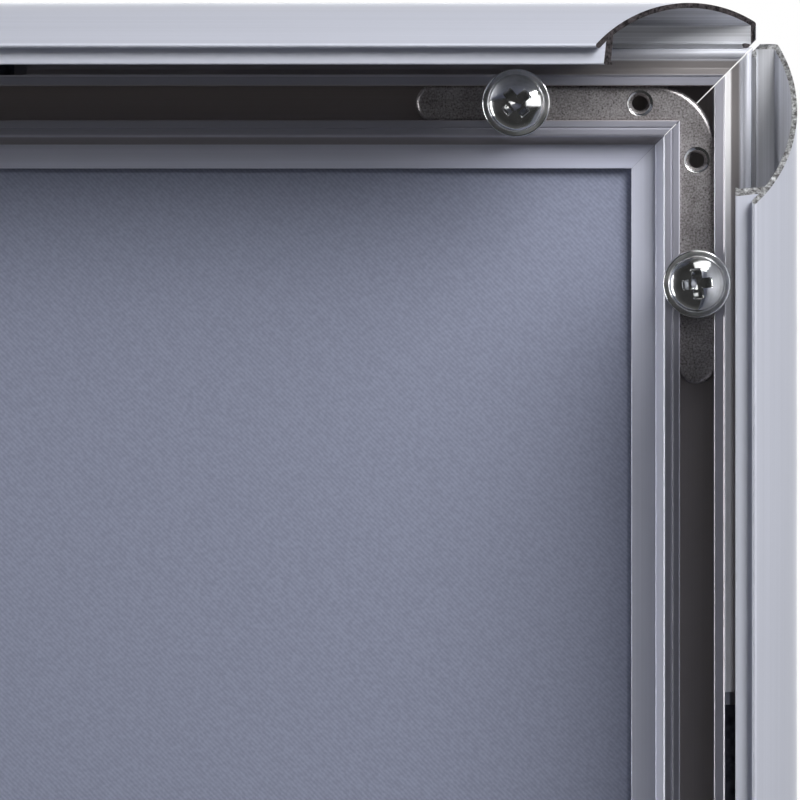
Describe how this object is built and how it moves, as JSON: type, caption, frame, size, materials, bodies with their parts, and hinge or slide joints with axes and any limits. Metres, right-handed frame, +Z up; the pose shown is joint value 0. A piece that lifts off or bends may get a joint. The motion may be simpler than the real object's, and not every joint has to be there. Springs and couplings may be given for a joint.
{
  "type": "snap frame",
  "caption": "Mitred aluminium poster snap frame for a wall: screwed corner brackets, a back panel, and sprung cover rails that swing open on hinged edges to clamp a sheet.",
  "frame": {"origin": "centre of the wall holes on the back plane, which is the middle of the frame", "axes": "+X to the right and +Z up as the frame hangs in portrait, the front faces -Y"},
  "size_m": [0.3408, 0.0288, 0.4638],
  "materials": {
    "base_anodised": "satin silver anodised extrusion with fine lines along its length",
    "cover_anodised": "matt silver anodised extrusion",
    "bracket_zinc": "zinc-plated pressed steel, mottled",
    "screw_zinc": "bright zinc plate",
    "spring_steel": "blued spring steel",
    "panel_grey": "grey plastic sheet with a fine diagonal grain"
  },
  "bodies": {
    "frame": {"base_rail_top": "base_anodised", "base_rail_right": "base_anodised", "base_rail_bottom": "base_anodised", "base_rail_left": "base_anodised", "corner_bracket_top_left": "bracket_zinc", "bracket_screws_top_left": "screw_zinc", "corner_bracket_top_right": "bracket_zinc", "bracket_screws_top_right": "screw_zinc", "corner_bracket_bottom_left": "bracket_zinc", "bracket_screws_bottom_left": "screw_zinc", "corner_bracket_bottom_right": "bracket_zinc", "bracket_screws_bottom_right": "screw_zinc", "leaf_spring_top": "spring_steel", "leaf_spring_bottom": "spring_steel", "leaf_spring_left_upper": "spring_steel", "leaf_spring_left_lower": "spring_steel", "leaf_spring_right_upper": "spring_steel", "leaf_spring_right_lower": "spring_steel", "back_panel": "panel_grey"},
    "top_rail": {"snap_rail_top": "cover_anodised"},
    "right_rail": {"snap_rail_right": "cover_anodised"},
    "bottom_rail": {"snap_rail_bottom": "cover_anodised"},
    "left_rail": {"snap_rail_left": "cover_anodised"}
  },
  "joints": [
    {"name": "top_rail_hinge", "type": "hinge", "parent": "frame", "child": "top_rail", "pos_m": [0, -0.0053, 0.22435], "axis": [-1, 0, 0], "range_deg": [-88, 0]},
    {"name": "right_rail_hinge", "type": "hinge", "parent": "frame", "child": "right_rail", "pos_m": [0.16285, -0.0053, 0], "axis": [0, 0, 1], "range_deg": [-88, 0]},
    {"name": "bottom_rail_hinge", "type": "hinge", "parent": "frame", "child": "bottom_rail", "pos_m": [0, -0.0053, -0.22435], "axis": [1, 0, 0], "range_deg": [-88, 0]},
    {"name": "left_rail_hinge", "type": "hinge", "parent": "frame", "child": "left_rail", "pos_m": [-0.16285, -0.0053, 0], "axis": [0, 0, -1], "range_deg": [-88, 0]}
  ]
}
